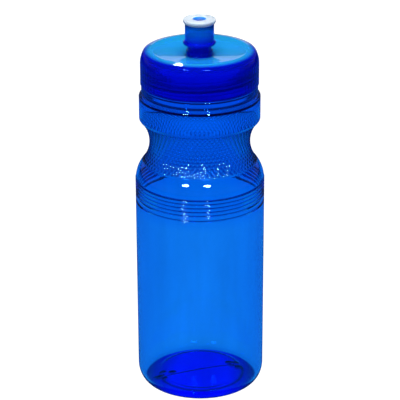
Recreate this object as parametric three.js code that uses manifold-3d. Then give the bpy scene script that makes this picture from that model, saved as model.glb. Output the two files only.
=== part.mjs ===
// A 24 fl oz sports squeeze bottle with a screw cap and a push-pull drinking nozzle.
// Millimetres, +Z up. The origin is the centre of the base, on the plane that the bottle stands on.
// Every piece is round about the Z axis. The nozzle is shown raised, which is its open position.

import * as THREE from 'three';
import { mergeVertices } from 'three/addons/utils/BufferGeometryUtils.js';
import Module from 'manifold-3d';

const wasm = await Module();
wasm.setup();

// ---------------------------------------------------------------- driving dimensions

const BODY_RADIUS = 36.5;                 // 73 mm across, the 2-7/8 in of a cage-fitting bottle
const WALL = 1.1;                         // blown wall
const FLOOR_WALL = 1.6;                   // the base is thicker than the wall
const NECK_WALL = 1.5;
const AROUND = 48;                        // facets around the large pieces
const AROUND_SMALL = 32;                  // facets around the nozzle pieces

// Base
const STAND_INNER = 25.2;                 // the flat ring that the bottle stands on
const STAND_OUTER = 31.2;
const CORNER_HEIGHT = 9.0;
const PUSH_UP_RADIUS = 23.2;
const PUSH_UP_EDGE = 1.4;
const PUSH_UP_CENTRE = 2.2;

// Rings and waist
const GROOVE_HEIGHTS = [112.8, 115.8, 118.05, 120.3, 122.55, 124.8];
const GROOVE_DEPTH = 0.6;
const SHOULDER_Z = 124.8;                 // where the shoulder arc leaves the wall
const SHOULDER_RADIUS = 36.3;
const SHOULDER_ARC = 17.2;
const WAIST_Z = 147.5;
const WAIST_RADIUS = 28.4;
const WAIST_ARC_LOWER = 19.3;
const WAIST_ARC_UPPER = 19.7;

// Collar, neck ring and neck
const COLLAR_RADIUS = 33.9;
const COLLAR_LOW = 161.2;
const COLLAR_HIGH = 174.0;
const COLLAR_EDGE = 1.0;
const GROOVE_UNDER_RING = 31.8;
const RING_RADIUS = 32.5;
const RING_LOW = 176.5;
const RING_HIGH = 180.8;
const NECK_RADIUS = 29.6;
const NECK_TOP = 196.5;
const NECK_FLARE = 2.5;                   // the inside stops widening this far under the collar's top

// Screw thread, right-handed, single start
const PITCH = 5.0;
const THREAD_TURNS = 1.6;
const THREAD_BASE = 1.1;                  // half width at the wall
const THREAD_CREST = 0.5;                 // half width at the crest
const THREAD_ROOT = 0.4;                  // how far a thread is sunk in its wall
const NECK_THREAD_CREST = 31.0;
const NECK_THREAD_Z = 185.0;
const CAP_THREAD_CREST = 30.1;
const CAP_THREAD_DROP = 1.8;              // the cap's thread lies this far under the neck's

// Cap
const SKIRT_RADIUS = 32.95;
const SKIRT_BORE = 31.6;
const SKIRT_LOW = 181.2;
const SKIRT_HIGH = 193.0;
const CAP_EDGE_RADIUS = 29.0;
const CAP_EDGE_Z = 200.4;
const RIM_RADIUS = 27.0;
const CAP_TOP = 201.0;
const SEAT_Z = 198.3;                     // the cap's flat underside, above the seal
const SEAT_INNER = 26.3;
const DISH_Z = 197.6;                     // the dished top where it meets the chimney
const DISH_THICKNESS = 1.6;
const BOSS_RADIUS = 7.35;
const BOSS_TOP = 200.5;
const TUBE_RADIUS = 6.7;
const TUBE_BORE = 5.2;
const TUBE_TOP = 209.4;
const TUBE_LOW = 193.0;                   // the chimney runs on below the dish, down to its spider
const BEAD_RADIUS = 7.2;
const STOP_BEAD_Z = 205.6;
const BEAD_HEIGHT = 0.9;
const PIN_RADIUS = 2.8;                   // the sealing part of the pin, up to its cone
const PIN_SEAL_TOP = 213.5;
const PIN_CONE_TOP = 215.2;
const PIN_NOSE = 2.2;                     // the nose that shows in the nozzle's hole
const PIN_TOP = 217.2;
const SPOKE_COUNT = 3;
const SPOKE_WIDTH = 1.6;
const SPOKE_HEIGHT = 2.0;

// Seal
const SEAL_OUTER = 31.1;
const SEAL_INNER = 26.8;
const SEAL_LOW = 196.8;
const SEAL_HIGH = 198.0;

// Nozzle sleeve, in its raised position
const FLANGE_LOW = 204.0;
const FLANGE_HIGH = 206.1;
const FLANGE_RADIUS = 9.1;
const SLEEVE_RADIUS = 8.05;
const SLEEVE_BORE = 7.45;
const SLEEVE_LIP_BORE = 6.95;
const SLEEVE_LIP_HIGH = 205.3;
const SLEEVE_TOP = 215.3;
const SLEEVE_ROOF = 213.9;                // underside of the sleeve's top wall
const SLEEVE_MOUTH = 5.4;

// Nozzle tip
const TIP_RADIUS = 9.0;
const TIP_STEP_RADIUS = 8.4;
const TIP_LOW = 215.6;
const TIP_STEP_Z = 216.4;
const TIP_TOP = 218.3;
const TIP_EDGE = 0.7;
const TIP_HOLE = 3.4;
const TIP_LIP = 3.0;                      // sealing lip at the bottom of the hole
const TIP_LIP_LOW = 215.7;
const TIP_LIP_HIGH = 216.3;
const TIP_SPIGOT = 5.1;
const TIP_SPIGOT_BORE = 4.3;
const TIP_BARB = 5.9;
const TIP_BARB_HIGH = 213.6;
const TIP_SPIGOT_LOW = 212.6;

// ---------------------------------------------------------------- outlines

// Points on an arc of an ellipse, from one angle to another in degrees, ends included.
function arc(centreR, centreZ, radiusR, radiusZ, from, to, steps) {
  const points = [];
  for (let i = 0; i <= steps; i++) {
    const angle = THREE.MathUtils.degToRad(from + (to - from) * i / steps);
    points.push([centreR + radiusR * Math.cos(angle), centreZ + radiusZ * Math.sin(angle)]);
  }
  return points;
}

// The wall from the shoulder down to the waist and up to the collar, as three tangent arcs.
// inset moves it inwards, for the inside of the wall.
function waistOutline(inset) {
  const rise = WAIST_Z - SHOULDER_Z;
  const run = WAIST_RADIUS + WAIST_ARC_LOWER + SHOULDER_ARC - SHOULDER_RADIUS;
  const turn = THREE.MathUtils.radToDeg(Math.atan2(rise, run));
  const shoulder = arc(SHOULDER_RADIUS - SHOULDER_ARC, SHOULDER_Z,
    SHOULDER_ARC - inset, SHOULDER_ARC - inset, 0, turn, 4);
  const lower = arc(WAIST_RADIUS + WAIST_ARC_LOWER, WAIST_Z,
    WAIST_ARC_LOWER + inset, WAIST_ARC_LOWER + inset, 180 + turn, 180, 4);
  const upperRadius = WAIST_ARC_UPPER + inset;
  const reach = WAIST_RADIUS + WAIST_ARC_UPPER - (COLLAR_RADIUS - inset);
  const end = THREE.MathUtils.radToDeg(Math.acos(reach / upperRadius));
  const upper = arc(WAIST_RADIUS + WAIST_ARC_UPPER, WAIST_Z, upperRadius, upperRadius,
    180, 180 - end, 5);
  return [...shoulder.slice(1), ...lower.slice(1), ...upper.slice(1)];
}

// Shallow V grooves around the wall, with a crest between each two.
function grooveOutline() {
  const points = [];
  GROOVE_HEIGHTS.forEach((height, i) => {
    const below = i === 0 ? height - 1.1 : (GROOVE_HEIGHTS[i - 1] + height) / 2;
    points.push([BODY_RADIUS, below]);
    points.push([BODY_RADIUS - GROOVE_DEPTH, height]);
  });
  return points;
}

// ---------------------------------------------------------------- solids

// A closed three.js geometry as a manifold solid.
function solidOf(geometry) {
  const bare = geometry.clone();
  bare.deleteAttribute('normal');
  bare.deleteAttribute('uv');
  const merged = mergeVertices(bare, 1e-4);
  const index = merged.index.array;
  const triangles = [];
  for (let i = 0; i < index.length; i += 3) {
    const [a, b, c] = [index[i], index[i + 1], index[i + 2]];
    if (a !== b && b !== c && c !== a) triangles.push(a, b, c);
  }
  const build = (list) => new wasm.Manifold(new wasm.Mesh({
    numProp: 3,
    vertProperties: new Float32Array(merged.attributes.position.array),
    triVerts: new Uint32Array(list),
  }));
  const solid = build(triangles);
  return solid.volume() > 0 ? solid : build(triangles.reverse());
}

// A solid turned about the Z axis from an outline of [radius, height] points.
// An outline that doesn't start and end on the axis is closed on itself.
function turned(outline, segments) {
  const onAxis = outline[0][0] === 0 && outline[outline.length - 1][0] === 0;
  const closed = onAxis ? outline : [...outline, outline[0]];
  const lathe = new THREE.LatheGeometry(closed.map(([r, z]) => new THREE.Vector2(r, z)), segments);
  return solidOf(lathe.rotateX(Math.PI / 2));
}

// One helical thread ridge. rootRadius is inside the wall and crestRadius is the free edge.
// A straight bar of the ridge's section is wound up along its length, and each end runs out
// into the wall.
function threadRidge(rootRadius, wallRadius, crestRadius, startZ) {
  const section = new THREE.Shape([
    new THREE.Vector2(0, -THREAD_BASE),
    new THREE.Vector2(1, -THREAD_CREST),
    new THREE.Vector2(1, THREAD_CREST),
    new THREE.Vector2(0, THREAD_BASE),
  ]);
  const steps = Math.round(THREAD_TURNS * AROUND);
  const bar = new THREE.ExtrudeGeometry(section, { depth: 1, steps, bevelEnabled: false });
  const position = bar.attributes.position;
  const runOut = 3 / steps;
  for (let i = 0; i < position.count; i++) {
    const along = position.getZ(i);
    const height = Math.min(1, Math.min(along, 1 - along) / runOut);
    const crest = wallRadius + (crestRadius - wallRadius) * height;
    const radius = position.getX(i) > 0.5 ? crest : rootRadius;
    const angle = along * THREAD_TURNS * 2 * Math.PI;
    position.setXYZ(i, radius * Math.cos(angle), radius * Math.sin(angle),
      startZ + along * THREAD_TURNS * PITCH + position.getY(i));
  }
  return solidOf(bar);
}

// A box that runs from the axis outwards, used for the spokes of the chimney's spider.
function spoke(length, width, low, height, angle) {
  const box = new THREE.BoxGeometry(length, width, height);
  box.translate(length / 2, 0, low + height / 2);
  return solidOf(box.rotateZ(angle));
}

function meshOf(name, solid, look) {
  const { vertProperties, triVerts } = solid.getMesh();
  const geometry = new THREE.BufferGeometry();
  geometry.setAttribute('position', new THREE.BufferAttribute(new Float32Array(vertProperties), 3));
  geometry.setIndex(new THREE.BufferAttribute(new Uint32Array(triVerts), 1));
  geometry.computeVertexNormals();
  const mesh = new THREE.Mesh(geometry, new THREE.MeshStandardMaterial(look));
  mesh.name = name;
  return mesh;
}

// ---------------------------------------------------------------- pieces

// The blown bottle: base with a push-up, straight wall, five rings, waist, collar and threaded neck.
function bottle() {
  const outside = [
    [0, PUSH_UP_CENTRE],
    [PUSH_UP_RADIUS, PUSH_UP_EDGE],
    [STAND_INNER, 0],
    ...arc(STAND_OUTER, CORNER_HEIGHT, BODY_RADIUS - STAND_OUTER, CORNER_HEIGHT, -90, 0, 6),
    ...grooveOutline(),
    ...waistOutline(0),
    ...arc(COLLAR_RADIUS - COLLAR_EDGE, COLLAR_HIGH, COLLAR_EDGE, COLLAR_EDGE, 0, 90, 2),
    [GROOVE_UNDER_RING, COLLAR_HIGH + COLLAR_EDGE + 0.4],
    [GROOVE_UNDER_RING, RING_LOW],
    [RING_RADIUS, RING_LOW + 0.5],
    [RING_RADIUS, RING_HIGH],
    [NECK_RADIUS, RING_HIGH],
    [NECK_RADIUS, NECK_TOP],
  ];
  const neckBore = NECK_RADIUS - NECK_WALL;
  const inside = [
    [neckBore, NECK_TOP],
    [neckBore, RING_HIGH],
    [COLLAR_RADIUS - WALL, COLLAR_HIGH - NECK_FLARE],
    ...waistOutline(WALL).reverse(),
    [SHOULDER_RADIUS - WALL, SHOULDER_Z],
    ...arc(STAND_OUTER, CORNER_HEIGHT, SHOULDER_RADIUS - WALL - STAND_OUTER,
      CORNER_HEIGHT - FLOOR_WALL, 0, -90, 5),
    [STAND_INNER, FLOOR_WALL],
    [PUSH_UP_RADIUS, PUSH_UP_EDGE + FLOOR_WALL],
    [0, PUSH_UP_CENTRE + FLOOR_WALL],
  ];
  const thread = threadRidge(NECK_RADIUS - THREAD_ROOT, NECK_RADIUS, NECK_THREAD_CREST, NECK_THREAD_Z);
  const solid = turned([...outside, ...inside], AROUND).add(thread);
  return meshOf('bottle', solid, { color: 0x1075e6, roughness: 0.15, metalness: 0, opacity: 0.5,
    transparent: true });
}

// The cap, one moulding: skirt with an inner thread, dished top, chimney for the nozzle, and
// the centre pin that plugs the nozzle's hole, held in the chimney by three spokes.
function screwCap() {
  const outline = [
    [SKIRT_BORE, SKIRT_LOW],
    [SKIRT_RADIUS, SKIRT_LOW],
    ...arc(CAP_EDGE_RADIUS, SKIRT_HIGH, SKIRT_RADIUS - CAP_EDGE_RADIUS, CAP_EDGE_Z - SKIRT_HIGH,
      0, 90, 6),
    [RIM_RADIUS, CAP_TOP],
    [BOSS_RADIUS, DISH_Z],
    [BOSS_RADIUS, BOSS_TOP],
    [TUBE_RADIUS, BOSS_TOP],
    [TUBE_RADIUS, STOP_BEAD_Z],
    [BEAD_RADIUS, STOP_BEAD_Z],
    [BEAD_RADIUS, STOP_BEAD_Z + BEAD_HEIGHT],
    [TUBE_RADIUS, STOP_BEAD_Z + 1.5 * BEAD_HEIGHT],
    [TUBE_RADIUS, TUBE_TOP - 1.5 * BEAD_HEIGHT],
    [BEAD_RADIUS, TUBE_TOP - BEAD_HEIGHT],
    [TUBE_RADIUS, TUBE_TOP],
    [TUBE_BORE, TUBE_TOP],
    [TUBE_BORE, TUBE_LOW],
    [TUBE_RADIUS, TUBE_LOW],
    [TUBE_RADIUS, DISH_Z - DISH_THICKNESS],
    [SEAT_INNER, SEAT_Z],
    [SKIRT_BORE, SEAT_Z],
  ];
  const pin = turned([
    [0, TUBE_LOW],
    [PIN_RADIUS, TUBE_LOW],
    [PIN_RADIUS, PIN_SEAL_TOP],
    [PIN_NOSE, PIN_CONE_TOP],
    [PIN_NOSE, PIN_TOP - 0.5],
    [PIN_NOSE - 0.5, PIN_TOP],
    [0, PIN_TOP],
  ], AROUND_SMALL);
  const threadZ = NECK_THREAD_Z - CAP_THREAD_DROP;
  let solid = turned(outline, AROUND)
    .add(threadRidge(SKIRT_BORE + THREAD_ROOT, SKIRT_BORE, CAP_THREAD_CREST, threadZ))
    .add(pin);
  for (let i = 0; i < SPOKE_COUNT; i++) {
    const angle = i * 2 * Math.PI / SPOKE_COUNT;
    solid = solid.add(spoke((TUBE_BORE + TUBE_RADIUS) / 2, SPOKE_WIDTH, TUBE_LOW, SPOKE_HEIGHT, angle));
  }
  return meshOf('screw_cap', solid, { color: 0x0a1fd0, roughness: 0.2, metalness: 0 });
}

// The flat seal between the neck's rim and the underside of the cap.
function sealLiner() {
  const solid = turned([
    [SEAL_INNER, SEAL_LOW],
    [SEAL_OUTER, SEAL_LOW],
    [SEAL_OUTER, SEAL_HIGH],
    [SEAL_INNER, SEAL_HIGH],
  ], AROUND);
  return meshOf('seal_liner', solid, { color: 0xe8eaec, roughness: 0.7, metalness: 0 });
}

// The sliding sleeve: grip flange at the bottom with a lip that catches on the chimney's bead.
function nozzleSleeve() {
  const solid = turned([
    [SLEEVE_LIP_BORE, FLANGE_LOW],
    [FLANGE_RADIUS - 0.4, FLANGE_LOW],
    [FLANGE_RADIUS, FLANGE_LOW + 0.4],
    [FLANGE_RADIUS, FLANGE_HIGH - 0.4],
    [FLANGE_RADIUS - 0.4, FLANGE_HIGH],
    [SLEEVE_RADIUS, FLANGE_HIGH],
    [SLEEVE_RADIUS, SLEEVE_TOP],
    [SLEEVE_MOUTH, SLEEVE_TOP],
    [SLEEVE_MOUTH, SLEEVE_ROOF],
    [SLEEVE_BORE, SLEEVE_ROOF],
    [SLEEVE_BORE, SLEEVE_LIP_HIGH],
    [SLEEVE_LIP_BORE, SLEEVE_LIP_HIGH],
  ], AROUND_SMALL);
  return meshOf('nozzle_sleeve', solid, { color: 0x0a2ad4, roughness: 0.25, metalness: 0 });
}

// The soft tip that one drinks from: a rounded disc with a hole, snapped into the sleeve's mouth.
// The pin's nose stands free in the raised tip, and its thicker part fills the lip when pushed down.
function nozzleTip() {
  const solid = turned([
    [TIP_SPIGOT_BORE, TIP_SPIGOT_LOW],
    [TIP_SPIGOT, TIP_SPIGOT_LOW],
    [TIP_BARB, TIP_BARB_HIGH],
    [TIP_SPIGOT, TIP_BARB_HIGH],
    [TIP_SPIGOT, TIP_LOW],
    [TIP_STEP_RADIUS, TIP_LOW],
    [TIP_STEP_RADIUS, TIP_STEP_Z],
    [TIP_RADIUS, TIP_STEP_Z],
    ...arc(TIP_RADIUS - TIP_EDGE, TIP_TOP - TIP_EDGE, TIP_EDGE, TIP_EDGE, 0, 90, 3),
    [TIP_HOLE, TIP_TOP],
    [TIP_HOLE, TIP_LIP_HIGH + 0.4],
    [TIP_LIP, TIP_LIP_HIGH],
    [TIP_LIP, TIP_LIP_LOW],
    [TIP_SPIGOT_BORE, TIP_LIP_LOW],
  ], AROUND_SMALL);
  return meshOf('nozzle_tip', solid, { color: 0xf2f3f5, roughness: 0.55, metalness: 0 });
}

const squeezeBottle = new THREE.Group();
squeezeBottle.add(bottle(), screwCap(), sealLiner(), nozzleSleeve(), nozzleTip());

export default squeezeBottle;
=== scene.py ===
"""A clear blue sports squeeze bottle with a screw cap and a push-pull nozzle.

Every piece is a closed shell with its real wall, turned about the Z axis from an outline of
[radius, height] points in millimetres. Texture, threads, flutes and base marks are moved points.
Only the three spokes that hold the nozzle's pin aren't turned.
"""

import math

import bpy
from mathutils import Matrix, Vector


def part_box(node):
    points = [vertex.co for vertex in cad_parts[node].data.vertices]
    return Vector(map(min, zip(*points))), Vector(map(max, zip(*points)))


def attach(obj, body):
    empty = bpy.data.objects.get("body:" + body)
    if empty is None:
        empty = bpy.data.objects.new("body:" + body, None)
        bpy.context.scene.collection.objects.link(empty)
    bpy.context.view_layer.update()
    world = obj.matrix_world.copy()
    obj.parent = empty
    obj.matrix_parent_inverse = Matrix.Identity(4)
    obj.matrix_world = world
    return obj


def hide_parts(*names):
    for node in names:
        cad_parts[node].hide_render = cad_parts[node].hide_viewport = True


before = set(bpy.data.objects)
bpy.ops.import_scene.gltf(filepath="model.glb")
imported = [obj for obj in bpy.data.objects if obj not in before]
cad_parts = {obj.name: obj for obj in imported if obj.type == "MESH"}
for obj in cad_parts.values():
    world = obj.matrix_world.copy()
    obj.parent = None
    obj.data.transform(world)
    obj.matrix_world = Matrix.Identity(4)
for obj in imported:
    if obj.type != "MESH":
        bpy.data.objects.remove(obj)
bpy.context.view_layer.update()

MM = 0.001
TURN = 2 * math.pi

# ---------------------------------------------------------------- sizes from the frame, in mm


def reach(node):
    """Lowest height, highest height and largest radius of a CAD node, in mm."""
    low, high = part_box(node)
    return low.z / MM, high.z / MM, high.x / MM


_, NECK_TOP, BODY_R = reach("bottle")
SKIRT_LOW, PIN_TOP, SKIRT_R = reach("screw_cap")
SEAL_LOW, SEAL_HIGH, SEAL_R = reach("seal_liner")
SLEEVE_LOW, SLEEVE_TOP, FLANGE_R = reach("nozzle_sleeve")
SPIGOT_LOW, TIP_TOP, TIP_R = reach("nozzle_tip")

AROUND = 144          # points around a plain stretch
FINE = 3 * AROUND     # and around one with fine detail
WALL = 1.1
NECK_WALL = 1.5

# ---------------------------------------------------------------- meshes of rings


class Turned:
    """A mesh of rings about the Z axis. Walking along the outline with the material on the
    left, which is up the outside and down the inside, makes every face point out."""

    def __init__(self):
        self.points = []
        self.faces = []
        self.shade_depth = []  # how much painted shade darkens each point: mostly how deep its groove or how high its ridge is, in mm

    def ring(self, radius, height, count=AROUND, phase=0.0, shift=None, shade_depth=0.0):
        """Adds a ring and returns its points' numbers. shift(angle, radius, height) gives
        an extra (radius, height, painted shade) for each point."""
        first = len(self.points)
        for i in range(count):
            angle = TURN * (i + phase) / count
            more_r, more_z, more_shade = shift(angle, radius, height) if shift else (0, 0, 0)
            r = radius + more_r
            self.points.append((r * math.cos(angle), r * math.sin(angle), height + more_z))
            self.shade_depth.append(shade_depth + more_shade)
        return range(first, first + count)

    def point(self, x, y, z):
        self.points.append((x, y, z))
        self.shade_depth.append(0.0)
        return len(self.points) - 1

    def pole(self, height):
        return self.point(0, 0, height)

    def fan_from(self, pole, ring):
        n = len(ring)
        for i in range(n):
            self.faces.append((pole, ring[(i + 1) % n], ring[i]))

    def fan_to(self, ring, pole):
        n = len(ring)
        for i in range(n):
            self.faces.append((ring[i], ring[(i + 1) % n], pole))

    def join(self, a, b):
        """Faces between two rings. One may have a whole number of times the other's points."""
        n = min(len(a), len(b))
        ka, kb = len(a) // n, len(b) // n
        for i in range(n):
            face = [a[(ka * i + k) % len(a)] for k in range(ka + 1)]
            face += [b[(kb * (i + 1) - k) % len(b)] for k in range(kb + 1)]
            self.faces.append(tuple(face))

    def along(self, rings):
        for a, b in zip(rings, rings[1:]):
            self.join(a, b)

    def weave(self, rings):
        """Faces between rings of equal count whose points are staggered by half a step,
        with four-sided faces that stand on their corners."""
        n = len(rings[0])
        last = len(rings) - 1
        for i in range(n):
            self.faces.append((rings[0][i], rings[0][(i + 1) % n], rings[1][i]))
        for j in range(last - 1):
            for i in range(n):
                left, right = (i - 1, i) if j % 2 == 0 else (i, i + 1)
                self.faces.append((rings[j][i], rings[j + 1][right % n],
                                   rings[j + 2][i], rings[j + 1][left % n]))
        for i in range(n):
            self.faces.append((rings[last - 1][i], rings[last][(i + 1) % n], rings[last][i]))

    def make(self, name):
        mesh = bpy.data.meshes.new(name)
        mesh.from_pydata([[c * MM for c in p] for p in self.points], [], self.faces)
        mesh.validate()
        mesh.shade_smooth()
        # Each point's amount of painted shade goes to the materials as an attribute.
        mesh.attributes.new("shade_depth", "FLOAT", "POINT").data.foreach_set("value", self.shade_depth)
        obj = bpy.data.objects.new(name, mesh)
        bpy.context.scene.collection.objects.link(obj)
        return obj


def arc(centre_r, centre_z, radius_r, radius_z, start, end, steps):
    """Points on an arc of an ellipse, angles in degrees, ends included."""
    points = []
    for i in range(steps + 1):
        a = math.radians(start + (end - start) * i / steps)
        points.append((centre_r + radius_r * math.cos(a), centre_z + radius_z * math.sin(a)))
    return points


def line(start, end, steps):
    """Points on a straight line, without its first point."""
    return [tuple(s + (e - s) * i / steps for s, e in zip(start, end)) for i in range(1, steps + 1)]


def smooth_step(x):
    x = min(1, max(0, x))
    return x * x * (3 - 2 * x)


# ---------------------------------------------------------------- bottle

STAND_OUTER = 31.2
CORNER_HEIGHT = 9.0
PUSH_UP_R = 22.2
PUSH_UP_EDGE = 1.4
STEP_R = 26.2         # where the push-up's edge has come down to the standing ring
PLAIN_BASE_R = 13.0   # the base has nothing but the parting line inside this
PUSH_UP_CENTRE = 2.2
FLOOR_WALL = 1.6

GROOVES = [112.8, 115.8, 118.05, 120.3, 122.55, 124.8]
GROOVE_DEPTH = 0.6
# Heights above a groove's bottom, each with the share of the groove's depth there
GROOVE_SHAPE = [(-0.82, 0.0), (-0.75, 0.0), (-0.70, 0.04), (-0.62, 0.13), (-0.14, 0.83), (-0.05, 0.97),
                (0.05, 0.97), (0.14, 0.83), (0.62, 0.13), (0.70, 0.04), (0.75, 0.0), (0.82, 0.0)]

SHOULDER_Z = 124.8
SHOULDER_R = 36.3
SHOULDER_ARC = 17.2
WAIST_Z = 147.5
WAIST_R = 28.4
LOWER_ARC = 19.3
UPPER_ARC = 19.7

COLLAR_R = 33.9
COLLAR_LOW = 161.2
COLLAR_HIGH = 174.0
COLLAR_EDGE = 1.0
UNDER_RING_R = 31.8
RING_R = 32.5
RING_LOW = 176.5
RING_HIGH = 180.8
NECK_R = 29.6

DIAMONDS = 72         # around the waist
DIAMOND_PARTS = 6     # points along each diamond's width
DIAMOND_HEIGHT = 3.8
DIAMOND_DEPTH = 0.45
PAD_EDGE = 0.6        # where a pad's flat middle begins, on a scale from groove to middle
PAD_CROWN = 0.8       # the share of a pad's height that its rounded middle has
TEXTURE_FADE = 1.5    # mm over which the texture dies out at its ends
TEXTURE_START = 0.3   # mm along the wall from the shoulder's end to the texture
TEXTURE_SPARE = 0.5   # mm of the wall that the texture leaves plain in all

PITCH = 5.0
THREAD_TURNS = 1.6
THREAD_BASE = 1.1
THREAD_CREST = 0.5
THREAD_RUN_OUT = 0.06  # the part of a turn in which an end rises from the wall
NECK_THREAD_Z = 185.0
NECK_THREAD_CREST = 31.0
CAP_THREAD_DROP = 1.8
CAP_THREAD_CREST = 30.1

# The mould's parting line across the base, turned this many degrees from +X
SEAM_TURN = 19
SEAM_OFFSET = 1.8     # how far it passes from the centre
SEAM_HEIGHT = 0.45
SEAM_WIDTH = 0.35
SEAM_HALF = 22        # half its length
SEAM_FADE = 3

# Pinch marks at its ends: x, y and size of each, and how high they are
PINCH_MARKS = [
    (16.8, 6.8, 1.5), (20.6, 7.0, 1.2), (18.2, 3.6, 1.4), (22.0, 1.6, 1.7),
    (-16.6, -5.0, 1.5), (-22.0, -4.0, 1.2), (-23.6, -8.4, 1.9), (-21.0, -11.0, 1.2),
]
PINCH_HEIGHT = 0.9
MARK_SHADE = 6        # painted shade for each mm of a mark's height

# Painted shade: a dark arc around part of the push-up's edge, with its depth of shade, place and
# width, and the angle of its middle and how far it runs to each side
ARC_SHADE = 3.2
ARC_SHADE_R = 24.6
ARC_SHADE_WIDTH = 1.0
ARC_SHADE_MIDDLE = -69
ARC_SHADE_HALF = 84
ARC_SHADE_FADE = 0.1


def waist_arcs(inset, steps):
    """The wall from the shoulder to the collar as three tangent arcs, moved in by inset."""
    rise = WAIST_Z - SHOULDER_Z
    run = WAIST_R + LOWER_ARC + SHOULDER_ARC - SHOULDER_R
    turn = math.degrees(math.atan2(rise, run))
    lower_r = LOWER_ARC + inset
    upper_r = UPPER_ARC + inset
    end = math.degrees(math.acos((WAIST_R + UPPER_ARC - COLLAR_R + inset) / upper_r))
    shoulder_r = SHOULDER_ARC - inset
    return (arc(SHOULDER_R - SHOULDER_ARC, SHOULDER_Z, shoulder_r, shoulder_r, 0, turn, steps),
            arc(WAIST_R + LOWER_ARC, WAIST_Z, lower_r, lower_r, 180 + turn, 180, steps),
            arc(WAIST_R + UPPER_ARC, WAIST_Z, upper_r, upper_r, 180, 180 - end, steps))


def thread_height(angle, z, start_z):
    """How far up a single-start thread's ridge a point is, from 0 to 1."""
    best = 0
    for turn in range(-1, 3):
        along = angle / TURN + turn
        if not 0 <= along <= THREAD_TURNS:
            continue
        off = abs(z - start_z - PITCH * along)
        flank = (THREAD_BASE - off) / (THREAD_BASE - THREAD_CREST)
        ends = min(along, THREAD_TURNS - along) / THREAD_RUN_OUT
        best = max(best, min(smooth_step(flank), smooth_step(ends)))
    return best


def base_marks(x, y):
    """Height in mm of the mould's parting line and the pinch marks at its ends."""
    seam = math.radians(SEAM_TURN)
    across = -x * math.sin(seam) + y * math.cos(seam) + SEAM_OFFSET
    along = x * math.cos(seam) + y * math.sin(seam)
    height = SEAM_HEIGHT * math.exp(-(across / SEAM_WIDTH) ** 2)
    height *= smooth_step((SEAM_HALF - abs(along)) / SEAM_FADE)
    for mark_x, mark_y, size in PINCH_MARKS:
        away = math.hypot(x - mark_x, y - mark_y) / size
        height += PINCH_HEIGHT * math.exp(-away * away)
    return height


def base_step(lift):
    """The push-up's edge coming down to the standing ring."""
    steps = 8
    return [(PUSH_UP_R + (STEP_R - PUSH_UP_R) * i / steps,
             PUSH_UP_EDGE * (1 - smooth_step(i / steps)) + lift) for i in range(1, steps + 1)]


def bottle_outside(mesh):
    """Rings up the outside, from the base's centre to the collar."""
    def marked(angle, r, z):
        height = base_marks(r * math.cos(angle), r * math.sin(angle))
        side = math.cos(angle - math.radians(ARC_SHADE_MIDDLE)) - math.cos(math.radians(ARC_SHADE_HALF))
        dark_shade = ARC_SHADE * smooth_step(side / ARC_SHADE_FADE) * math.exp(-((r - ARC_SHADE_R) / ARC_SHADE_WIDTH) ** 2)
        # Painted shade: the marks and the dark arc around the push-up's edge are darkened.
        return 0, height, MARK_SHADE * height + dark_shade

    # Base: push-up, then the ring that the bottle stands on
    pole = mesh.pole(PUSH_UP_CENTRE + base_marks(0, 0))
    push_up = []
    steps = 32
    for i in range(1, steps + 1):
        r = PUSH_UP_R * i / steps
        dome = PUSH_UP_EDGE + (PUSH_UP_CENTRE - PUSH_UP_EDGE) * (1 - (r / PUSH_UP_R) ** 2)
        push_up.append(mesh.ring(r, dome, FINE if r > PLAIN_BASE_R else AROUND, shift=marked))
    mesh.fan_from(pole, push_up[0])
    mesh.along(push_up)
    step = [mesh.ring(r, z, FINE, shift=marked) for r, z in base_step(0)]
    outline = [(STAND_OUTER - 1.5, 0.0)]
    outline += arc(STAND_OUTER, CORNER_HEIGHT, BODY_R - STAND_OUTER, CORNER_HEIGHT, -90, 0, 16)
    outline += line(outline[-1], (BODY_R, GROOVES[0] - 1.6), 6)
    # Rings between V grooves, whose flanks and edges stay straight
    # Their depth also sets the painted shade that darkens the grooves.
    for z in GROOVES:
        for off, share in GROOVE_SHAPE:
            outline.append((BODY_R - GROOVE_DEPTH * share, z + off, GROOVE_DEPTH * share))
    shoulder, lower, upper = waist_arcs(0, 24)
    outline += [p for p in shoulder if p[1] > SHOULDER_Z + 1.3]
    rings = [push_up[-1]] + step + [mesh.ring(r, z, shade_depth=sum(cut)) for r, z, *cut in outline]
    mesh.along(rings)
    return waist_texture(mesh, rings[-1], lower + upper[1:])


def waist_texture(mesh, below, curve):
    """The diamond texture: V grooves along two families of spirals, with raised pads between.
    Its points lie on the spirals, so every groove follows the mesh."""
    lengths = [0.0]
    for (r0, z0), (r1, z1) in zip(curve, curve[1:]):
        lengths.append(lengths[-1] + math.hypot(r1 - r0, z1 - z0))
    row = DIAMOND_HEIGHT / (2 * DIAMOND_PARTS)
    count = int((lengths[-1] - TEXTURE_SPARE) / row) // 2 * 2
    rings = []
    span = 0
    for j in range(count + 1):
        s = TEXTURE_START + j * row
        while lengths[span + 1] < s:
            span += 1
        (r0, z0), (r1, z1) = curve[span], curve[span + 1]
        t = (s - lengths[span]) / (lengths[span + 1] - lengths[span])
        size = math.hypot(r1 - r0, z1 - z0)
        normal = ((z1 - z0) / size, -(r1 - r0) / size)
        fade = min(smooth_step(j * row / TEXTURE_FADE), smooth_step((count - j) * row / TEXTURE_FADE))

        def pads(angle, r, z, j=j, normal=normal, fade=fade):
            across = angle / TURN * DIAMONDS
            up = j / (2 * DIAMOND_PARTS)
            pad = abs(math.sin(math.pi * (across + up)) * math.sin(math.pi * (across - up)))
            flat = smooth_step(pad / PAD_EDGE)
            cut = DIAMOND_DEPTH * fade * (1 - (1 - PAD_CROWN) * flat - PAD_CROWN * pad)
            # The cut also darkens the texture's grooves with painted shade.
            return -cut * normal[0], -cut * normal[1], cut

        rings.append(mesh.ring(r0 + (r1 - r0) * t, z0 + (z1 - z0) * t,
                               DIAMONDS * DIAMOND_PARTS, 0.5 * (j % 2), pads))
    mesh.join(below, rings[0])
    mesh.weave(rings)
    return rings[-1]


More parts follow.
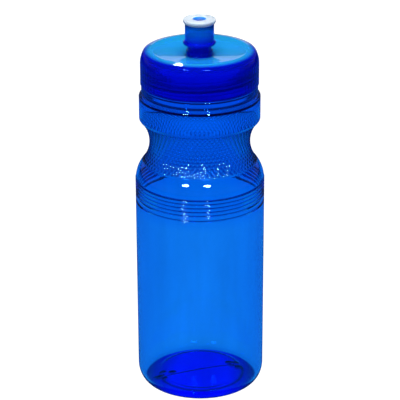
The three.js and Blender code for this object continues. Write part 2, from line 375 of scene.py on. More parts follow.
def bottle_neck(mesh, below):
    """Collar, neck ring, neck and thread, up to the rim."""

    def ridge(angle, r, z):
        out = (NECK_THREAD_CREST - NECK_R) * thread_height(angle, z, NECK_THREAD_Z)
        # The thread's height also darkens it with the painted shade of the grooves.
        return out, 0, out

    # The third numbers are painted shade: a dark line along the collar's lower edge and a darkened
    # groove under the neck ring.
    outline = [(COLLAR_R - 0.05, COLLAR_LOW + 0.05, 0.5), (COLLAR_R, COLLAR_LOW + 0.3, 0.4)]
    outline += line((COLLAR_R, COLLAR_LOW + 0.6), (COLLAR_R, COLLAR_HIGH), 5)
    outline += arc(COLLAR_R - COLLAR_EDGE, COLLAR_HIGH, COLLAR_EDGE, COLLAR_EDGE, 15, 90, 6)
    outline += [(UNDER_RING_R + 0.3, COLLAR_HIGH + 1.1, 0.1), (UNDER_RING_R, COLLAR_HIGH + 1.4, 0.4),
                (UNDER_RING_R, RING_LOW - 0.1, 0.4), (UNDER_RING_R + 0.3, RING_LOW + 0.25, 0.1),
                (RING_R - 0.15, RING_LOW + 0.4), (RING_R, RING_LOW + 0.7)]
    outline += line(outline[-1], (RING_R, RING_HIGH - 0.3), 3)
    outline += [(RING_R - 0.1, RING_HIGH - 0.08), (RING_R - 0.3, RING_HIGH),
                (NECK_R + 0.3, RING_HIGH), (NECK_R + 0.06, RING_HIGH + 0.1)]
    rings = [below] + [mesh.ring(r, z, shade_depth=sum(cut)) for r, z, *cut in outline]
    low, high = RING_HIGH + 0.4, NECK_TOP - 0.5
    steps = 36
    rings += [mesh.ring(NECK_R, low + (high - low) * i / steps, shift=ridge) for i in range(steps + 1)]
    mesh.along(rings)
    return rings[-1]


def flare(start, end, steps):
    """An S-shaped widening between two vertical stretches."""
    (r0, z0), (r1, z1) = start, end
    return [(r0 + (r1 - r0) * smooth_step(i / steps), z0 + (z1 - z0) * i / steps)
            for i in range(steps + 1)]


def bottle_inside(mesh, rim):
    """Rings down the inside, from the neck's rim to the floor's centre."""
    bore = NECK_R - NECK_WALL
    outline = arc(NECK_R - 0.4, NECK_TOP - 0.4, 0.4, 0.4, 30, 90, 3)
    outline += arc(bore + 0.4, NECK_TOP - 0.4, 0.4, 0.4, 90, 180, 4)
    outline += line(outline[-1], (bore, RING_HIGH + 0.4), 3)
    wide = COLLAR_R - WALL
    behind_ring = UNDER_RING_R - WALL - 0.3
    outline += flare((bore, RING_HIGH + 0.2), (behind_ring, RING_HIGH - 1.7), 8)
    outline += flare((behind_ring, COLLAR_HIGH + 0.6), (wide, COLLAR_HIGH - 1.1), 8)
    shoulder, lower, upper = waist_arcs(WALL, 10)
    outline += line(outline[-1], (wide, upper[-1][1] + 0.3), 3)
    outline += list(reversed(upper)) + list(reversed(lower))[1:] + list(reversed(shoulder))[1:]
    wall_r = SHOULDER_R - WALL
    for low_z in reversed(GROOVES):
        outline += [(wall_r - 0.12, low_z), (wall_r + 0.04, low_z - 1.1)]
    outline += line(outline[-1], (wall_r + 0.1, CORNER_HEIGHT), 5)
    outline += arc(STAND_OUTER, CORNER_HEIGHT, wall_r + 0.1 - STAND_OUTER,
                   CORNER_HEIGHT - FLOOR_WALL, 0, -90, 12)[1:]
    outline += [(STAND_OUTER - 2, FLOOR_WALL)] + base_step(FLOOR_WALL)[::-1]
    for i in range(12):
        r = PUSH_UP_R * (1 - i / 12)
        dome = PUSH_UP_EDGE + (PUSH_UP_CENTRE - PUSH_UP_EDGE) * (1 - (r / PUSH_UP_R) ** 2)
        outline.append((r, dome + FLOOR_WALL))
    rings = [rim] + [mesh.ring(r, z) for r, z in outline]
    mesh.along(rings)
    mesh.fan_to(rings[-1], mesh.pole(PUSH_UP_CENTRE + FLOOR_WALL))


def make_bottle():
    mesh = Turned()
    waist_top = bottle_outside(mesh)
    rim = bottle_neck(mesh, waist_top)
    bottle_inside(mesh, rim)
    return mesh.make("bottle_blown")


# ---------------------------------------------------------------- cap

SKIRT_BORE = 31.6
SKIRT_HIGH = 193.0
CAP_EDGE_R = 29.0
CAP_EDGE_Z = 200.4
RIM_R = 27.0
CAP_TOP = 201.0
CHAMFER = 3.4         # the flat chamfer around the dished top, and how far it drops
CHAMFER_DROP = 0.75
SEAT_Z = 198.3
SEAT_INNER = 26.3
DISH_Z = 197.6
DISH_THICKNESS = 1.6
BOSS_R = 7.35
BOSS_TOP = 200.5
TUBE_R = 6.7
TUBE_BORE = 5.2
TUBE_TOP = 209.4
TUBE_LOW = 193.0
BEAD_R = 7.2
STOP_BEAD_Z = 205.6
BEAD_HEIGHT = 0.9
PIN_R = 2.8
PIN_SEAL_TOP = 213.5
PIN_CONE_TOP = 215.2
PIN_NOSE = 2.2
SPOKES = 3
SPOKE_WIDTH = 1.6
SPOKE_HEIGHT = 2.0
SPOKE_WIDENING = 0.45  # how much wider its ends are

FLUTES = 72
FLUTE_DEPTH = 0.12
THREAD_SHADE = 1.1    # how dark the painted bands are that stand for the threads inside, seen through the skirt


def make_cap():
    """Skirt, dished top and chimney as one turned shell."""
    mesh = Turned()
    cap_thread_z = NECK_THREAD_Z - CAP_THREAD_DROP

    def ridge(angle, r, z):
        height = (SKIRT_BORE - CAP_THREAD_CREST) * thread_height(angle, z, cap_thread_z)
        # The thread's height also darkens it with painted shade.
        return -height, 0, height

    def flute(angle, r, z):
        fade = smooth_step((z - SKIRT_LOW - 0.4) / 0.8) * smooth_step((SKIRT_HIGH + 3.5 - z) / 3)
        wave = 0.5 - 0.5 * math.cos(angle * FLUTES)
        # Painted shade in bands that follow the threads inside, as if seen through the skirt.
        thread = 0.5 + 0.5 * math.cos(TURN * ((z - cap_thread_z) / (PITCH / 2) - 2 * angle / TURN))
        inside = smooth_step((z - SKIRT_LOW - 1.0) / 2) * smooth_step((SKIRT_HIGH + 1.5 - z) / 3)
        return -FLUTE_DEPTH * fade * wave ** 2, 0, THREAD_SHADE * inside * thread

    # Up the outside of the skirt, over the shoulder and down into the dish
    skirt = [(SKIRT_R - 0.5, SKIRT_LOW), (SKIRT_R - 0.15, SKIRT_LOW + 0.1), (SKIRT_R, SKIRT_LOW + 0.4)]
    skirt += line(skirt[-1], (SKIRT_R, SKIRT_HIGH), 14)
    skirt += arc(CAP_EDGE_R, SKIRT_HIGH, SKIRT_R - CAP_EDGE_R, CAP_EDGE_Z - SKIRT_HIGH, 4, 40, 9)
    outer = [mesh.ring(r, z, FINE, shift=flute) for r, z in skirt]
    chamfer_r = RIM_R + CHAMFER
    chamfer_z = CAP_TOP - CHAMFER_DROP
    over = [(chamfer_r + 1.25, chamfer_z - 1.4), (chamfer_r + 0.9, chamfer_z - 0.75),
            (chamfer_r + 0.5, chamfer_z - 0.26), (chamfer_r, chamfer_z)]
    over += line(over[-1], (RIM_R + 0.4, CAP_TOP - 0.1), 3)
    over += [(RIM_R + 0.1, CAP_TOP - 0.03), (RIM_R - 0.2, CAP_TOP - 0.03), (RIM_R - 0.5, CAP_TOP - 0.12)]
    over += line(over[-1], (BOSS_R + 1.0, DISH_Z + 0.12), 10)
    over += arc(BOSS_R + 0.8, DISH_Z + 0.85, 0.8, 0.8, 260, 180, 5)
    over += [(BOSS_R, BOSS_TOP - 0.25), (BOSS_R - 0.08, BOSS_TOP - 0.06), (BOSS_R - 0.25, BOSS_TOP),
             (TUBE_R + 0.15, BOSS_TOP), (TUBE_R, BOSS_TOP + 0.2), (TUBE_R, STOP_BEAD_Z - 0.2),
             (TUBE_R + 0.1, STOP_BEAD_Z - 0.02)]
    for bead_z in (STOP_BEAD_Z, TUBE_TOP - 1.4 * BEAD_HEIGHT):
        over += arc(TUBE_R, bead_z + BEAD_HEIGHT / 2, BEAD_R - TUBE_R, BEAD_HEIGHT / 2, -85, 85, 8)
    over += [(TUBE_R, TUBE_TOP - 0.25), (TUBE_R - 0.25, TUBE_TOP), (TUBE_BORE + 0.25, TUBE_TOP),
             (TUBE_BORE, TUBE_TOP - 0.25)]
    under_z = DISH_Z - DISH_THICKNESS
    over += line(over[-1], (TUBE_BORE, TUBE_LOW + 0.2), 8)
    over += [(TUBE_BORE + 0.2, TUBE_LOW), (TUBE_R - 0.2, TUBE_LOW), (TUBE_R, TUBE_LOW + 0.2),
             (TUBE_R, under_z - 0.4), (TUBE_R + 0.4, under_z)]
    over += line(over[-1], (SEAT_INNER, SEAT_Z), 6)
    over += [(SKIRT_BORE - 0.6, SEAT_Z), (SKIRT_BORE - 0.15, SEAT_Z - 0.15), (SKIRT_BORE, SEAT_Z - 0.6)]
    upper = [mesh.ring(r, z) for r, z in over]
    # Down the threaded bore to the skirt's lower edge
    steps = 48
    low = SKIRT_LOW + 0.3
    bore = [mesh.ring(SKIRT_BORE, SEAT_Z - 1 + (low - SEAT_Z + 1) * i / steps, shift=ridge)
            for i in range(steps + 1)]
    edge = [mesh.ring(SKIRT_BORE + 0.3, SKIRT_LOW)]
    rings = outer + upper + bore + edge
    mesh.along(rings)
    mesh.join(edge[0], outer[0])
    return mesh.make("screw_cap_moulding")


def add_spoke(mesh, angle, low):
    """A rounded bar from the centre pin to the chimney, wider where it meets them."""
    steps, sides = 10, 16
    rings = []
    for i in range(steps + 1):
        along = PIN_R - 0.3 + (TUBE_BORE - PIN_R + 0.6) * i / steps
        widening = 1 + SPOKE_WIDENING * abs(2 * i / steps - 1) ** 3
        ring = []
        for k in range(sides):
            a = TURN * k / sides
            squarish = 1 / max(abs(math.cos(a)), abs(math.sin(a))) ** 0.6
            across = SPOKE_WIDTH / 2 * widening * squarish * math.cos(a)
            up = SPOKE_HEIGHT / 2 * (1 + widening * squarish * math.sin(a))
            ring.append(mesh.point(along * math.cos(angle) - across * math.sin(angle),
                                   along * math.sin(angle) + across * math.cos(angle), low + up))
        rings.append(ring)
    mesh.faces.append(tuple(reversed(rings[0])))
    mesh.along(rings)
    mesh.faces.append(tuple(rings[-1]))


def make_pin():
    """The centre pin that plugs the nozzle's hole, with the spider that holds it."""
    mesh = Turned()
    base = TUBE_LOW + 0.1
    outline = [(PIN_R - 0.4, base), (PIN_R - 0.1, base + 0.1), (PIN_R, base + 0.4)]
    outline += line(outline[-1], (PIN_R, PIN_SEAL_TOP), 8)
    outline += line((PIN_R - 0.03, PIN_SEAL_TOP + 0.15), (PIN_NOSE, PIN_CONE_TOP), 3)
    outline += arc(PIN_NOSE - 0.6, PIN_TOP - 0.7, 0.6, 0.6, 0, 80, 6)
    pole = mesh.pole(base)
    rings = [mesh.ring(r, z, AROUND // 2) for r, z in outline]
    mesh.fan_from(pole, rings[0])
    mesh.along(rings)
    mesh.fan_to(rings[-1], mesh.pole(PIN_TOP - 0.02))
    for spoke in range(SPOKES):
        add_spoke(mesh, TURN * spoke / SPOKES, base)
    return mesh.make("closure_pin")


# ---------------------------------------------------------------- seal and nozzle

FLANGE_HIGH = 206.1
SLEEVE_R = 8.05
SLEEVE_BORE = 7.45
LIP_BORE = 6.95
LIP_HIGH = 205.3
SLEEVE_ROOF = 213.9
SLEEVE_MOUTH = 5.4

TIP_STEP_R = 8.4
TIP_LOW = 215.6
TIP_STEP_Z = 216.4
TIP_EDGE = 0.8
TIP_HOLE = 3.4
TIP_LIP = 3.0
TIP_LIP_LOW = 215.7
TIP_LIP_HIGH = 216.3
SPIGOT_R = 5.1
SPIGOT_BORE = 4.3
BARB_R = 5.9
BARB_HIGH = 213.6


def closed_rings(name, outline):
    """A ring-shaped solid from a closed outline."""
    mesh = Turned()
    rings = [mesh.ring(r, z) for r, z in outline]
    mesh.along(rings + rings[:1])
    return mesh.make(name)


def make_seal():
    low, high = SEAL_LOW, SEAL_HIGH
    inner = SEAT_INNER + 0.5
    outline = [(inner + 0.15, low), (SEAL_R - 0.15, low), (SEAL_R, low + 0.15),
               (SEAL_R, high - 0.15), (SEAL_R - 0.15, high), (inner + 0.15, high),
               (inner, high - 0.15), (inner, low + 0.15)]
    return closed_rings("seal_ring", outline)


def make_sleeve():
    """The sliding sleeve with its grip flange and inner lip."""
    outline = [(LIP_BORE + 0.15, SLEEVE_LOW), (FLANGE_R - 0.5, SLEEVE_LOW)]
    outline += arc(FLANGE_R - 0.5, SLEEVE_LOW + 0.5, 0.5, 0.5, -70, 0, 5)
    # The flange's top curves up into the sleeve like a trumpet's bell
    bell_r = FLANGE_R - 0.15
    bell_wide = bell_r - SLEEVE_R
    bell_high = FLANGE_HIGH - SLEEVE_LOW - 0.4
    outline += [(FLANGE_R, SLEEVE_LOW + 0.9), (FLANGE_R - 0.05, SLEEVE_LOW + 1.05)]
    outline += arc(bell_r, FLANGE_HIGH + 0.8, bell_wide, bell_high, 270, 180, 10)
    outline += line(outline[-1], (SLEEVE_R, SLEEVE_TOP - 0.3), 5)
    outline += [(SLEEVE_R - 0.1, SLEEVE_TOP - 0.08), (SLEEVE_R - 0.3, SLEEVE_TOP),
                (SLEEVE_MOUTH + 0.2, SLEEVE_TOP), (SLEEVE_MOUTH, SLEEVE_TOP - 0.2),
                (SLEEVE_MOUTH, SLEEVE_ROOF + 0.2), (SLEEVE_MOUTH + 0.2, SLEEVE_ROOF),
                (SLEEVE_BORE - 0.4, SLEEVE_ROOF), (SLEEVE_BORE, SLEEVE_ROOF - 0.4)]
    outline += line(outline[-1], (SLEEVE_BORE, LIP_HIGH + 0.2), 5)
    outline += [(SLEEVE_BORE - 0.1, LIP_HIGH), (LIP_BORE + 0.1, LIP_HIGH - 0.05),
                (LIP_BORE, LIP_HIGH - 0.25), (LIP_BORE, SLEEVE_LOW + 0.2)]
    return closed_rings("nozzle_sleeve_shell", outline)


def make_tip():
    """The soft white tip with its hole, and the barbed spigot that snaps into the sleeve."""
    outline = [(SPIGOT_BORE + 0.1, SPIGOT_LOW), (SPIGOT_R - 0.1, SPIGOT_LOW),
               (BARB_R - 0.1, BARB_HIGH - 0.15), (BARB_R - 0.1, BARB_HIGH), (SPIGOT_R, BARB_HIGH + 0.1),
               (SPIGOT_R, TIP_LOW - 0.1), (SPIGOT_R + 0.1, TIP_LOW), (TIP_STEP_R - 0.2, TIP_LOW),
               (TIP_STEP_R, TIP_LOW + 0.15), (TIP_STEP_R + 0.05, TIP_STEP_Z)]
    outline += arc(TIP_R - 0.35, TIP_STEP_Z + 0.4, 0.35, 0.35, -80, 0, 4)
    outline += arc(TIP_R - TIP_EDGE, TIP_TOP - TIP_EDGE, TIP_EDGE, TIP_EDGE, 5, 90, 8)
    outline += line(outline[-1], (TIP_HOLE + 0.5, TIP_TOP - 0.12), 4)
    outline += arc(TIP_HOLE + 0.5, TIP_TOP - 0.62, 0.5, 0.5, 95, 180, 5)
    outline += [(TIP_HOLE, TIP_LIP_HIGH + 0.5), (TIP_LIP + 0.05, TIP_LIP_HIGH + 0.05),
                (TIP_LIP, TIP_LIP_HIGH - 0.1), (TIP_LIP, TIP_LIP_LOW + 0.15),
                (TIP_LIP + 0.15, TIP_LIP_LOW), (SPIGOT_BORE - 0.2, TIP_LIP_LOW),
                (SPIGOT_BORE, TIP_LIP_LOW - 0.2),
                (SPIGOT_BORE, SPIGOT_LOW + 0.1)]
    return closed_rings("nozzle_tip_soft", outline)


# ---------------------------------------------------------------- materials

PLASTIC_IOR = 1.5

# Heights and radii in metres, from where a colour starts to where it is full
LIT_SHOULDER_FROM, LIT_SHOULDER_FULL = 0.191, 0.198      # the cap's shoulder, painted light in a slightly lighter blue
LIT_TOP_FROM, LIT_TOP_FULL = 0.1965, 0.1975              # its top, painted a lighter blue as light falling on it, by height
LIT_TOP_EDGE, LIT_TOP_EDGE_FULL = 0.0306, 0.0276         # and from its outer edge
LIT_TOP_FOOT, LIT_TOP_FOOT_FULL = 0.0075, 0.0082         # and from the chimney's foot
HOLE_GLOW_EDGE, HOLE_GLOW_FULL = 0.0040, 0.0036       # the blue painted in the tip's hole, as light coming through the blue sleeve and pin

STREAK_LIGHT, STREAK_DARK = 1.06, 0.93   # the tint's brightness in its streaks

GROOVE_START = 0.3                # the share of a groove's depth at which its painted shade starts
DARK_SHADE_FROM, DARK_SHADE_FULL = 1.5, 2.3   # the same for the painted shade of the dark arc and the marks, as shade depth


def new_material(name):
    material = bpy.data.materials.new(name)
    material.use_nodes = True
    nodes = material.node_tree.nodes
    return material, nodes, material.node_tree.links, nodes["Principled BSDF"]


def add_noise(nodes, links, scale, detail=2.0, stretch=(1, 1, 1)):
    """A noise texture in the piece's own space. scale is in periods per metre."""
    place = nodes.new("ShaderNodeTexCoord")
    mapping = nodes.new("ShaderNodeMapping")
    mapping.inputs["Scale"].default_value = stretch
    noise = nodes.new("ShaderNodeTexNoise")
    noise.inputs["Scale"].default_value = scale
    noise.inputs["Detail"].default_value = detail
    links.new(place.outputs["Object"], mapping.inputs["Vector"])
    links.new(mapping.outputs["Vector"], noise.inputs["Vector"])
    return noise


def add_range(nodes, links, value, low, high, start=0.0, end=1.0):
    """value from start to end as a number from low to high, and no further."""
    span = nodes.new("ShaderNodeMapRange")
    span.inputs["From Min"].default_value = start
    span.inputs["From Max"].default_value = end
    span.inputs["To Min"].default_value = low
    span.inputs["To Max"].default_value = high
    links.new(value, span.inputs["Value"])
    return span.outputs["Result"]


def add_share(nodes, links, value, start, end):
    """How far value has come from start to end, as a number from 0 to 1."""
    return add_range(nodes, links, value, 0.0, 1.0, start, end)


def add_bump(nodes, links, shader, value, distance):
    bump = nodes.new("ShaderNodeBump")
    bump.inputs["Distance"].default_value = distance
    bump.inputs["Strength"].default_value = 1.0
    links.new(value, bump.inputs["Height"])
    links.new(bump.outputs["Normal"], shader.inputs["Normal"])


def add_mix(nodes, links, factor, first, second):
    """A colour from first to second, either of them a colour or another node's output."""
    mix = nodes.new("ShaderNodeMix")
    mix.data_type = "RGBA"
    factor_in, first_in, second_in = mix.inputs[0], mix.inputs[6], mix.inputs[7]
    links.new(factor, factor_in)
    for colour, socket in ((first, first_in), (second, second_in)):
        if isinstance(colour, tuple):
            socket.default_value = (*colour, 1)
        else:
            links.new(colour, socket)
    return mix.outputs[2]


def add_painted_shade(nodes, links, start, end):
    """How much painted shade a point has, mostly from how deep in a groove or how high on a ridge it is,
    as 0 at start and 1 at end.
    """
    attribute = nodes.new("ShaderNodeAttribute")
    attribute.attribute_name = "shade_depth"
    return add_share(nodes, links, attribute.outputs["Fac"], start, end)


def add_radius(nodes, links):
    """Distance from the Z axis in metres, and height in metres, in the piece's own space."""
    place = nodes.new("ShaderNodeTexCoord")
    split = nodes.new("ShaderNodeSeparateXYZ")
    links.new(place.outputs["Object"], split.inputs["Vector"])
    flat = nodes.new("ShaderNodeVectorMath")
    flat.operation = "MULTIPLY"
    flat.inputs[1].default_value = (1, 1, 0)
    links.new(place.outputs["Object"], flat.inputs[0])
    length = nodes.new("ShaderNodeVectorMath")
    length.operation = "LENGTH"
    links.new(flat.outputs["Vector"], length.inputs[0])
    return length.outputs["Value"], split.outputs["Z"]


def add_product(nodes, links, first, second):
    product = nodes.new("ShaderNodeMath")
    product.operation = "MULTIPLY"
    links.new(first, product.inputs[0])
    links.new(second, product.inputs[1])
    return product.outputs["Value"]


def tinted_plastic(name, tint, groove, depth, absorb, clear, rough, wave_scale, wave_height,
                   gloss, top=None, shoulder=None, upper=None, dark_shade=None):
    """Tinted see-through plastic. tint is the colour of its skin and groove the painted shade in
    grooves of that depth. absorb is how much red, green and blue light a millimetre takes,
    clear the share that isn't clouded, gloss the colour of its shine, top and shoulder the
    lighter colours painted on the cap's top and its shoulder as light falling on them, upper two
    heights in metres and the colour that the skin changes to between them, and the last argument
    the colour of the painted shade on the base's marks and dark arc, whose shade is deeper than a
    groove's."""
    material, nodes, links, shader = new_material(name)
    shader.inputs["Transmission Weight"].default_value = clear
    shader.inputs["IOR"].default_value = PLASTIC_IOR
    shader.inputs["Specular Tint"].default_value = (*gloss, 1)
    streaks = add_noise(nodes, links, 55, 3, (1, 1, 0.2))
    thin = tuple(min(1, STREAK_LIGHT * c) for c in tint)
    thick = tuple(STREAK_DARK * c for c in tint)
    streak = add_share(nodes, links, streaks.outputs["Fac"], 0.3, 0.7)
    colour = add_mix(nodes, links, streak, thin, thick)
    # Painted light: the cap's shoulder a slightly lighter blue.
    if shoulder:
        _, height = add_radius(nodes, links)
        high = add_share(nodes, links, height, LIT_SHOULDER_FROM, LIT_SHOULDER_FULL)
        colour = add_mix(nodes, links, high, colour, shoulder)
    # Painted light: the cap's top a lighter blue, as light falling on it, away from its edge and the
    # chimney's foot.
    if top:
        radius, height = add_radius(nodes, links)
        within = add_share(nodes, links, radius, LIT_TOP_EDGE, LIT_TOP_EDGE_FULL)
        high = add_share(nodes, links, height, LIT_TOP_FROM, LIT_TOP_FULL)
        flat = add_product(nodes, links, within, high)
        beyond = add_share(nodes, links, radius, LIT_TOP_FOOT, LIT_TOP_FOOT_FULL)
        flat = add_product(nodes, links, flat, beyond)
        colour = add_mix(nodes, links, flat, colour, top)
    if upper:
        start, end, upper_colour = upper
        _, height = add_radius(nodes, links)
        high = add_share(nodes, links, height, start, end)
        colour = add_mix(nodes, links, high, colour, upper_colour)
    # Painted shade: grooves, thread ridges and marked lines darkened by their shade amount.
    if groove:
        deep = add_painted_shade(nodes, links, GROOVE_START * depth, depth)
        colour = add_mix(nodes, links, deep, colour, groove)
    # Painted shade: the base's marks and dark arc, darker still.
    if dark_shade:
        darkened = add_painted_shade(nodes, links, DARK_SHADE_FROM, DARK_SHADE_FULL)
        colour = add_mix(nodes, links, darkened, colour, dark_shade)
    links.new(colour, shader.inputs["Base Color"])
    grain = add_noise(nodes, links, 900, 3)
    links.new(add_range(nodes, links, grain.outputs["Fac"], *rough), shader.inputs["Roughness"])
    waves = add_noise(nodes, links, wave_scale, 2, (1, 1, 0.35))
    add_bump(nodes, links, shader, waves.outputs["Fac"], wave_height)
    volume = nodes.new("ShaderNodeVolumeAbsorption")
    volume.inputs["Density"].default_value = max(absorb) / MM
    volume.inputs["Color"].default_value = (*[1 - a / max(absorb) for a in absorb], 1)
    links.new(volume.outputs["Volume"], nodes["Material Output"].inputs["Volume"])
    return material


def soft_white():
    """Frosted soft polyethylene that glows a little, painted blue near its hole as light coming through
    the blue sleeve and pin.
    """
    material, nodes, links, shader = new_material("soft_white")
    shader.inputs["IOR"].default_value = PLASTIC_IOR
    shader.inputs["Subsurface Weight"].default_value = 1.0
    shader.inputs["Subsurface Radius"].default_value = (0.9, 1.0, 1.1)
    shader.inputs["Subsurface Scale"].default_value = 0.006
    mottle = add_noise(nodes, links, 260, 3)
    ramp = nodes.new("ShaderNodeValToRGB")
    ramp.color_ramp.elements[0].position = 0.3
    ramp.color_ramp.elements[0].color = (0.26, 0.30, 0.34, 1)
    ramp.color_ramp.elements[1].position = 0.7
    ramp.color_ramp.elements[1].color = (0.30, 0.34, 0.38, 1)
    links.new(mottle.outputs["Fac"], ramp.inputs["Fac"])
    radius, _ = add_radius(nodes, links)
    # Painted light: blue near the hole.
    hole_glow = add_range(nodes, links, radius, 1.0, 0.0, HOLE_GLOW_FULL, HOLE_GLOW_EDGE)
    links.new(add_mix(nodes, links, hole_glow, ramp.outputs["Color"], (0.01, 0.16, 0.50)),
              shader.inputs["Base Color"])
    grain = add_noise(nodes, links, 2400, 2)
    links.new(add_range(nodes, links, grain.outputs["Fac"], 0.32, 0.5), shader.inputs["Roughness"])
    add_bump(nodes, links, shader, grain.outputs["Fac"], 0.00002)
    return material


def seal_foam():
    """Matte white foamed sheet with fine cells."""
    material, nodes, links, shader = new_material("seal_foam")
    cells = add_noise(nodes, links, 3000, 4)
    ramp = nodes.new("ShaderNodeValToRGB")
    ramp.color_ramp.elements[0].color = (0.72, 0.75, 0.80, 1)
    ramp.color_ramp.elements[1].color = (0.88, 0.90, 0.93, 1)
    links.new(cells.outputs["Fac"], ramp.inputs["Fac"])
    links.new(ramp.outputs["Color"], shader.inputs["Base Color"])
    links.new(add_range(nodes, links, cells.outputs["Fac"], 0.6, 0.85), shader.inputs["Roughness"])
    add_bump(nodes, links, shader, cells.outputs["Fac"], 0.00005)
    return material


def dress(piece, material, node, body):
    piece.data.materials.append(material)
    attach(piece, body)
    if node:
        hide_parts(node)


# Painted shade: the groove colour darkens the body's grooves, texture, thread and marked lines, and the
# last colour the base's marks and dark arc.
body_plastic = tinted_plastic("clear_blue_pet", (0.20, 0.60, 0.94), (0.01, 0.14, 0.55), 0.55,
                              (0.95, 0.31, 0.058), 1.0, (0.0, 0.04), 60, 0.00004,
                              (0.3, 0.6, 1.0), upper=(0.106, 0.119, (0.015, 0.42, 0.93)),
                              dark_shade=(0.0, 0.0, 0.12))
# Painted shade: the groove colour darkens the cap's inner threads and the bands across its skirt.
# Painted light: its top and shoulder are lighter blues.
cap_plastic = tinted_plastic("cap_blue_moulded", (0.001, 0.006, 0.66), (0.0, 0.0, 0.24), 1.4,
                             (0.6, 0.2, 0.02), 0.74, (0.03, 0.08), 90, 0.00003,
                             (0.02, 0.07, 0.45), top=(0.02, 0.50, 1.0),
                             shoulder=(0.001, 0.009, 0.70))
# Painted light: the sleeve's top changes to a lighter blue.
sleeve_plastic = tinted_plastic("sleeve_blue_moulded", (0.001, 0.015, 0.95), None, 1,
                                (0.6, 0.3, 0.02), 0.76, (0.05, 0.12), 90, 0.00003,
                                (0.01, 0.05, 0.4), upper=(0.2060, 0.2110, (0.002, 0.28, 1.0)))

dress(make_bottle(), body_plastic, "bottle", "bottle")
dress(make_cap(), cap_plastic, "screw_cap", "cap")
dress(make_pin(), cap_plastic, None, "cap")
dress(make_seal(), seal_foam(), "seal_liner", "seal")
dress(make_sleeve(), sleeve_plastic, "nozzle_sleeve", "nozzle")
dress(make_tip(), soft_white(), "nozzle_tip", "nozzle")


# ---------------------------------------------------------------- stage, lights and camera

CAMERA_AWAY = 0.9503
CAMERA_UP = 0.5098
CAMERA_DOWN = 22.78   # degrees below level
CAMERA_ROLL = -0.191
CAMERA_LENS = 162.95

AIM_HEIGHT = 0.13         # the height that the lights are aimed at

WORLD_LEVEL = 0.3         # how bright the surround is near the level
WORLD_OVERHEAD = 0.03     # and overhead
WORLD_MIRRORED = 0.45     # the share of that in reflections

FLOOR_HALF = 6.0          # half the floor's width
FLOOR_DROP = 0.0002       # how far it lies under the bottle
FLOOR_GLOW = 1.15
FLOOR_FAR = 0.12          # the share of its glow that is left far from the bottle
FLOOR_MIRRORED = 0.5      # its glow in reflections, and the colour there
MIRRORED_COLOUR = (0.02, 0.14, 0.9)
GLOW_R = 0.8              # the floor's glow starts to fade beyond this
GLOW_END_R = 1.4
SHADE_HALF_X = 0.0327     # the blue shade on the floor under the base, an ellipse
SHADE_HALF_Y = 0.0343
SHADE_Y = -0.0062
SHADE_EVEN = 0.5          # how much less the shade darkens towards its back than its sides
SHADE_MIDDLE = (0.0, 0.0, 1.3)
SHADE_SIDE = (0.0, 0.0, 0.28)
SHADE_SIDE_FROM, SHADE_SIDE_FULL = 0.5, 0.95     # shares of the way from its middle to its edge


def link_sheet(name, size, material):
    mesh = bpy.data.meshes.new(name)
    mesh.from_pydata([(-size, -size, 0), (size, -size, 0), (size, size, 0), (-size, size, 0)], [],
                     [(0, 1, 2, 3)])
    mesh.materials.append(material)
    sheet = bpy.data.objects.new(name, mesh)
    bpy.context.scene.collection.objects.link(sheet)
    return sheet


def make_floor():
    """A pale floor lit evenly from within, as on a light table. Seen through the bottle, it has
    the blue shade of the base on it."""
    material, nodes, links, shader = new_material("floor_white")
    shader.inputs["Base Color"].default_value = (0, 0, 0, 1)
    shader.inputs["Roughness"].default_value = 1.0
    shader.inputs["Specular IOR Level"].default_value = 0.0
    radius, _ = add_radius(nodes, links)
    place = nodes.new("ShaderNodeTexCoord")
    squeeze = nodes.new("ShaderNodeVectorMath")
    squeeze.operation = "MULTIPLY_ADD"
    squeeze.inputs[1].default_value = (1 / SHADE_HALF_X, 1 / SHADE_HALF_Y, 0)
    squeeze.inputs[2].default_value = (0, -SHADE_Y / SHADE_HALF_Y, 0)
    links.new(place.outputs["Object"], squeeze.inputs[0])
    off = nodes.new("ShaderNodeVectorMath")
    off.operation = "LENGTH"
    links.new(squeeze.outputs["Vector"], off.inputs[0])
    path = nodes.new("ShaderNodeLightPath")
    inside = add_range(nodes, links, off.outputs["Value"], 1.0, 0.0, 0.99, 1.02)
    shade = add_product(nodes, links, inside, path.outputs["Is Transmission Ray"])
    sideways = nodes.new("ShaderNodeVectorMath")
    sideways.operation = "MULTIPLY"
    sideways.inputs[1].default_value = (1, SHADE_EVEN, 0)
    links.new(squeeze.outputs["Vector"], sideways.inputs[0])
    across = nodes.new("ShaderNodeVectorMath")
    across.operation = "LENGTH"
    links.new(sideways.outputs["Vector"], across.inputs[0])
    edge = add_share(nodes, links, across.outputs["Value"], SHADE_SIDE_FROM, SHADE_SIDE_FULL)
    shade_colour = add_mix(nodes, links, edge, SHADE_MIDDLE, SHADE_SIDE)
    glow_colour = add_mix(nodes, links, shade, (1, 1, 1), shade_colour)
    mirrored = path.outputs["Is Reflection Ray"]
    seen_colour = add_mix(nodes, links, mirrored, glow_colour, MIRRORED_COLOUR)
    links.new(seen_colour, shader.inputs["Emission Color"])
    fade = add_range(nodes, links, radius, 1.0, FLOOR_FAR, GLOW_R, GLOW_END_R)
    strength = add_range(nodes, links, mirrored, FLOOR_GLOW, FLOOR_MIRRORED)
    glow = add_product(nodes, links, fade, strength)
    seen = nodes.new("ShaderNodeMath")
    seen.operation = "MAXIMUM"
    links.new(glow, seen.inputs[0])
    links.new(path.outputs["Is Camera Ray"], seen.inputs[1])
    links.new(seen.outputs["Value"], shader.inputs["Emission Strength"])
    link_sheet("floor", FLOOR_HALF, material).location.z = -FLOOR_DROP


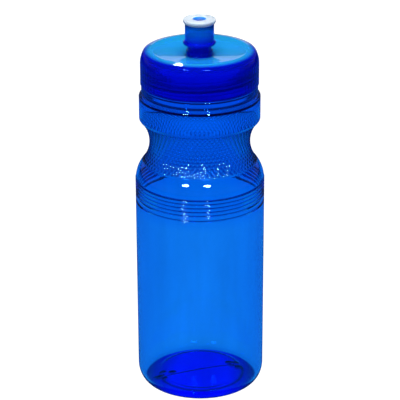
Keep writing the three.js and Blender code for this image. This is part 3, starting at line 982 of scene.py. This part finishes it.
def make_softbox(name, azimuth, elevation, wide, high, away, power, shine=True, inside=False):
    """A soft light, azimuth in degrees from the front, aimed at the bottle. With shine it
    shows only as a highlight, and with inside it glints on the walls' inner faces as well.
    Without shine it lights matte surfaces and makes no highlight."""
    light = bpy.data.lights.new(name, "AREA")
    light.shape = "ELLIPSE"
    light.size = wide
    light.size_y = high
    light.energy = power
    obj = bpy.data.objects.new(name, light)
    bpy.context.scene.collection.objects.link(obj)
    a, e = math.radians(azimuth), math.radians(elevation)
    obj.location = (away * math.cos(e) * math.sin(a), -away * math.cos(e) * math.cos(a),
                    AIM_HEIGHT + away * math.sin(e))
    obj.rotation_euler = (math.radians(90 - elevation), 0, math.radians(azimuth))
    obj.visible_camera = False
    obj.visible_diffuse = not shine
    obj.visible_glossy = shine
    obj.visible_transmission = inside


def make_world():
    """Bright near the level and darker overhead, as in a studio with a white surround."""
    world = bpy.data.worlds.new("studio")
    world.use_nodes = True
    nodes, links = world.node_tree.nodes, world.node_tree.links
    place = nodes.new("ShaderNodeTexCoord")
    split = nodes.new("ShaderNodeSeparateXYZ")
    links.new(place.outputs["Generated"], split.inputs["Vector"])
    fade = add_range(nodes, links, split.outputs["Z"], WORLD_LEVEL, WORLD_OVERHEAD, 0.0, 0.5)
    path = nodes.new("ShaderNodeLightPath")
    seen = nodes.new("ShaderNodeMath")
    seen.operation = "MAXIMUM"
    dimmed = add_range(nodes, links, path.outputs["Is Reflection Ray"], 1.0, WORLD_MIRRORED)
    links.new(add_product(nodes, links, fade, dimmed), seen.inputs[0])
    links.new(path.outputs["Is Camera Ray"], seen.inputs[1])
    background = nodes["Background"]
    background.inputs["Color"].default_value = (1, 1, 1, 1)
    links.new(seen.outputs["Value"], background.inputs["Strength"])
    bpy.context.scene.world = world


def make_camera():
    data = bpy.data.cameras.new("camera")
    data.sensor_width = 36
    data.lens = CAMERA_LENS
    camera = bpy.data.objects.new("camera", data)
    bpy.context.scene.collection.objects.link(camera)
    camera.location = (0, -CAMERA_AWAY, CAMERA_UP)
    camera.rotation_mode = "ZXY"
    camera.rotation_euler = (math.radians(90 - CAMERA_DOWN), 0, math.radians(CAMERA_ROLL))
    bpy.context.scene.camera = camera


make_floor()
make_softbox("softbox_left", -29, 34, 0.30, 0.26, 1.5, 20, inside=True)
make_softbox("softbox_right", 14.7, 35, 0.30, 0.26, 1.5, 20, inside=True)
make_softbox("softbox_back", -171.5, 43.5, 0.08, 0.045, 1.5, 1.2)
make_softbox("softbox_wall", 180, 4, 1.6, 0.5, 2.0, 0.9)
make_softbox("softbox_over", 0, 85, 0.8, 0.8, 1.1, 33, shine=False)
make_softbox("softbox_fill", -20, 15, 1.2, 0.8, 2.0, 26, shine=False)
make_world()
make_camera()
bpy.context.scene.view_settings.view_transform = "Standard"
